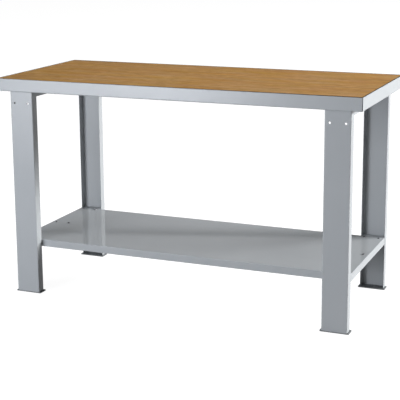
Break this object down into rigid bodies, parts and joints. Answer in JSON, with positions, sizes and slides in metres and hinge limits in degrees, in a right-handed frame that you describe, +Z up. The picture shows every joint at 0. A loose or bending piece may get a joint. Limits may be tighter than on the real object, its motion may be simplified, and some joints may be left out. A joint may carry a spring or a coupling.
{
  "type": "workbench",
  "caption": "Workbench with a wooden board inlaid in a folded steel rim, channel-section steel legs joined into end frames, foot plates and a folded steel lower shelf.",
  "frame": {"origin": "on the floor, under the middle of the worktop", "axes": "+X along the bench to the right as seen from the working side, +Y from the working side to the back, +Z up"},
  "size_m": [1.5, 0.65, 0.89],
  "materials": {
    "board_wood": "clear-oiled hardwood-faced panel, golden brown, satin",
    "rim_paint": "light grey powder coat, semi-gloss",
    "leg_paint": "light grey powder coat, semi-gloss",
    "shelf_paint": "light grey powder coat, semi-gloss",
    "foot_paint": "grey powder coat, worn and dusty at the floor",
    "bolt_zinc": "bright zinc plate",
    "screw_zinc": "bright zinc plate",
    "screw_black": "blackened steel"
  },
  "bodies": {
    "root": {"board_screw_front_inner_left": "screw_zinc", "board_screw_front_inner_right": "screw_zinc", "board_screw_front_outer_left": "screw_zinc", "board_screw_front_outer_right": "screw_zinc", "board_screw_rear_inner_left": "screw_zinc", "board_screw_rear_inner_right": "screw_zinc", "board_screw_rear_outer_left": "screw_zinc", "board_screw_rear_outer_right": "screw_zinc", "foot_plate_front_left": "foot_paint", "foot_plate_front_right": "foot_paint", "foot_plate_rear_left": "foot_paint", "foot_plate_rear_right": "foot_paint", "leg_front_left": "leg_paint", "leg_front_right": "leg_paint", "leg_rear_left": "leg_paint", "leg_rear_right": "leg_paint", "rim_rail_back": "rim_paint", "rim_rail_front": "rim_paint", "rim_rail_left": "rim_paint", "rim_rail_right": "rim_paint", "shelf_bearer_left": "leg_paint", "shelf_bearer_right": "leg_paint", "shelf_screw_front_left_inner": "screw_black", "shelf_screw_front_left_outer": "screw_black", "shelf_screw_front_right_inner": "screw_black", "shelf_screw_front_right_outer": "screw_black", "shelf_screw_middle_left_inner": "screw_black", "shelf_screw_middle_left_outer": "screw_black", "shelf_screw_middle_right_inner": "screw_black", "shelf_screw_middle_right_outer": "screw_black", "shelf_screw_rear_left_inner": "screw_black", "shelf_screw_rear_left_outer": "screw_black", "shelf_screw_rear_right_inner": "screw_black", "shelf_screw_rear_right_outer": "screw_black", "shelf_stiffener": "shelf_paint", "shelf_tray": "shelf_paint", "top_bearer_left": "leg_paint", "top_bearer_right": "leg_paint", "top_bolt_front_left_inner": "bolt_zinc", "top_bolt_front_left_outer": "bolt_zinc", "top_bolt_front_right_inner": "bolt_zinc", "top_bolt_front_right_outer": "bolt_zinc", "top_bolt_rear_left_inner": "bolt_zinc", "top_bolt_rear_left_outer": "bolt_zinc", "top_bolt_rear_right_inner": "bolt_zinc", "top_bolt_rear_right_outer": "bolt_zinc", "top_nut_front_left_inner": "bolt_zinc", "top_nut_front_left_outer": "bolt_zinc", "top_nut_front_right_inner": "bolt_zinc", "top_nut_front_right_outer": "bolt_zinc", "top_nut_rear_left_inner": "bolt_zinc", "top_nut_rear_left_outer": "bolt_zinc", "top_nut_rear_right_inner": "bolt_zinc", "top_nut_rear_right_outer": "bolt_zinc", "worktop_board": "board_wood", "worktop_cross_member_inner_left": "rim_paint", "worktop_cross_member_inner_right": "rim_paint", "worktop_cross_member_outer_left": "rim_paint", "worktop_cross_member_outer_right": "rim_paint"}
  },
  "joints": []
}
